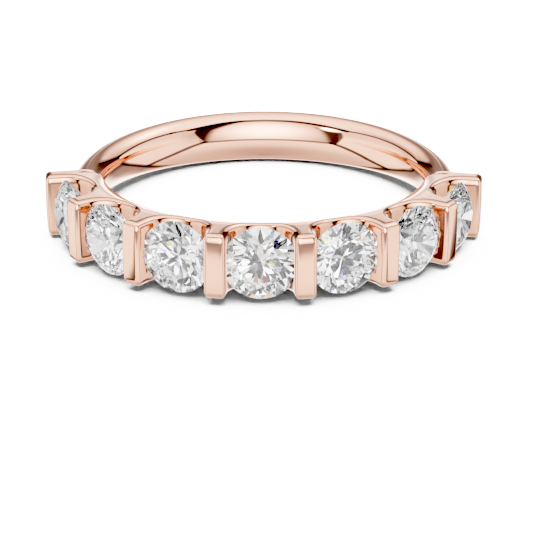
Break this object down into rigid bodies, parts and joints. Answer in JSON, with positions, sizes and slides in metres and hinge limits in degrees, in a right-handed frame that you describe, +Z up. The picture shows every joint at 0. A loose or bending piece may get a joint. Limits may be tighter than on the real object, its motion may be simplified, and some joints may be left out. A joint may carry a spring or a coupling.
{
  "type": "half eternity band",
  "caption": "Half eternity ring in polished rose gold: a row of round brilliant stones held between flat bars across the front of a plain tapered shank.",
  "frame": {"origin": "centre of the finger hole, at the middle of the ring's width", "axes": "+Z along the finger hole's axis, -Y towards the middle stone, +X along the row of stones; the ring lies on its side with +Z up"},
  "size_m": [0.0232, 0.022, 0.0038],
  "materials": {
    "rose_gold": "mirror polished rose gold",
    "diamond": "clear colourless brilliant-cut stone with polished facets"
  },
  "bodies": {
    "root": {"band": "rose_gold", "stone_1": "diamond", "stone_2": "diamond", "stone_3": "diamond", "stone_4": "diamond", "stone_5": "diamond", "stone_6": "diamond", "stone_7": "diamond"}
  },
  "joints": []
}
